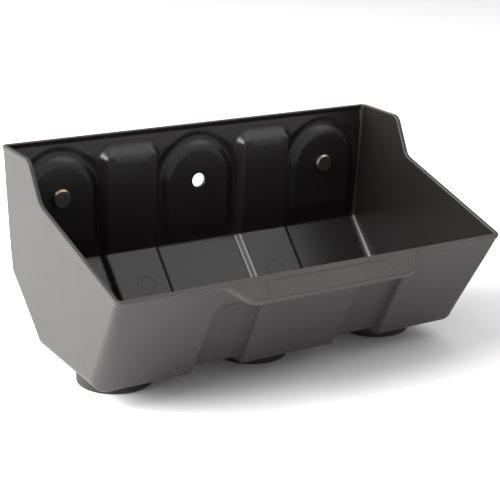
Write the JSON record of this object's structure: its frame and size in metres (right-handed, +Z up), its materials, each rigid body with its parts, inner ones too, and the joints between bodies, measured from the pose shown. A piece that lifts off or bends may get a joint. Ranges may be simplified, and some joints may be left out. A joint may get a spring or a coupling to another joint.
{
  "type": "magnetic storage bin",
  "caption": "Open-topped wall bin with a low front and pull tab, held to steel by round magnets in rubber boots under its base and behind its back.",
  "frame": {"origin": "on the standing surface, at the middle of the whole object in plan", "axes": "+X across the bin to its right side, +Y to the back wall, +Z up"},
  "size_m": [0.305, 0.1954, 0.15],
  "materials": {
    "bin_plastic": "satin",
    "boot_rubber": "matte",
    "cup_steel": "satin",
    "ferrite": "matte",
    "rivet_nickel": "polished"
  },
  "bodies": {
    "root": {"bin_shell": "bin_plastic", "base_left_boot": "boot_rubber", "base_left_cup": "cup_steel", "base_left_magnet": "ferrite", "base_left_rivet": "rivet_nickel", "base_centre_boot": "boot_rubber", "base_centre_cup": "cup_steel", "base_centre_magnet": "ferrite", "base_centre_rivet": "rivet_nickel", "base_right_boot": "boot_rubber", "base_right_cup": "cup_steel", "base_right_magnet": "ferrite", "base_right_rivet": "rivet_nickel", "back_left_boot": "boot_rubber", "back_left_cup": "cup_steel", "back_left_magnet": "ferrite", "back_left_rivet": "rivet_nickel", "back_right_boot": "boot_rubber", "back_right_cup": "cup_steel", "back_right_magnet": "ferrite", "back_right_rivet": "rivet_nickel"}
  },
  "joints": []
}
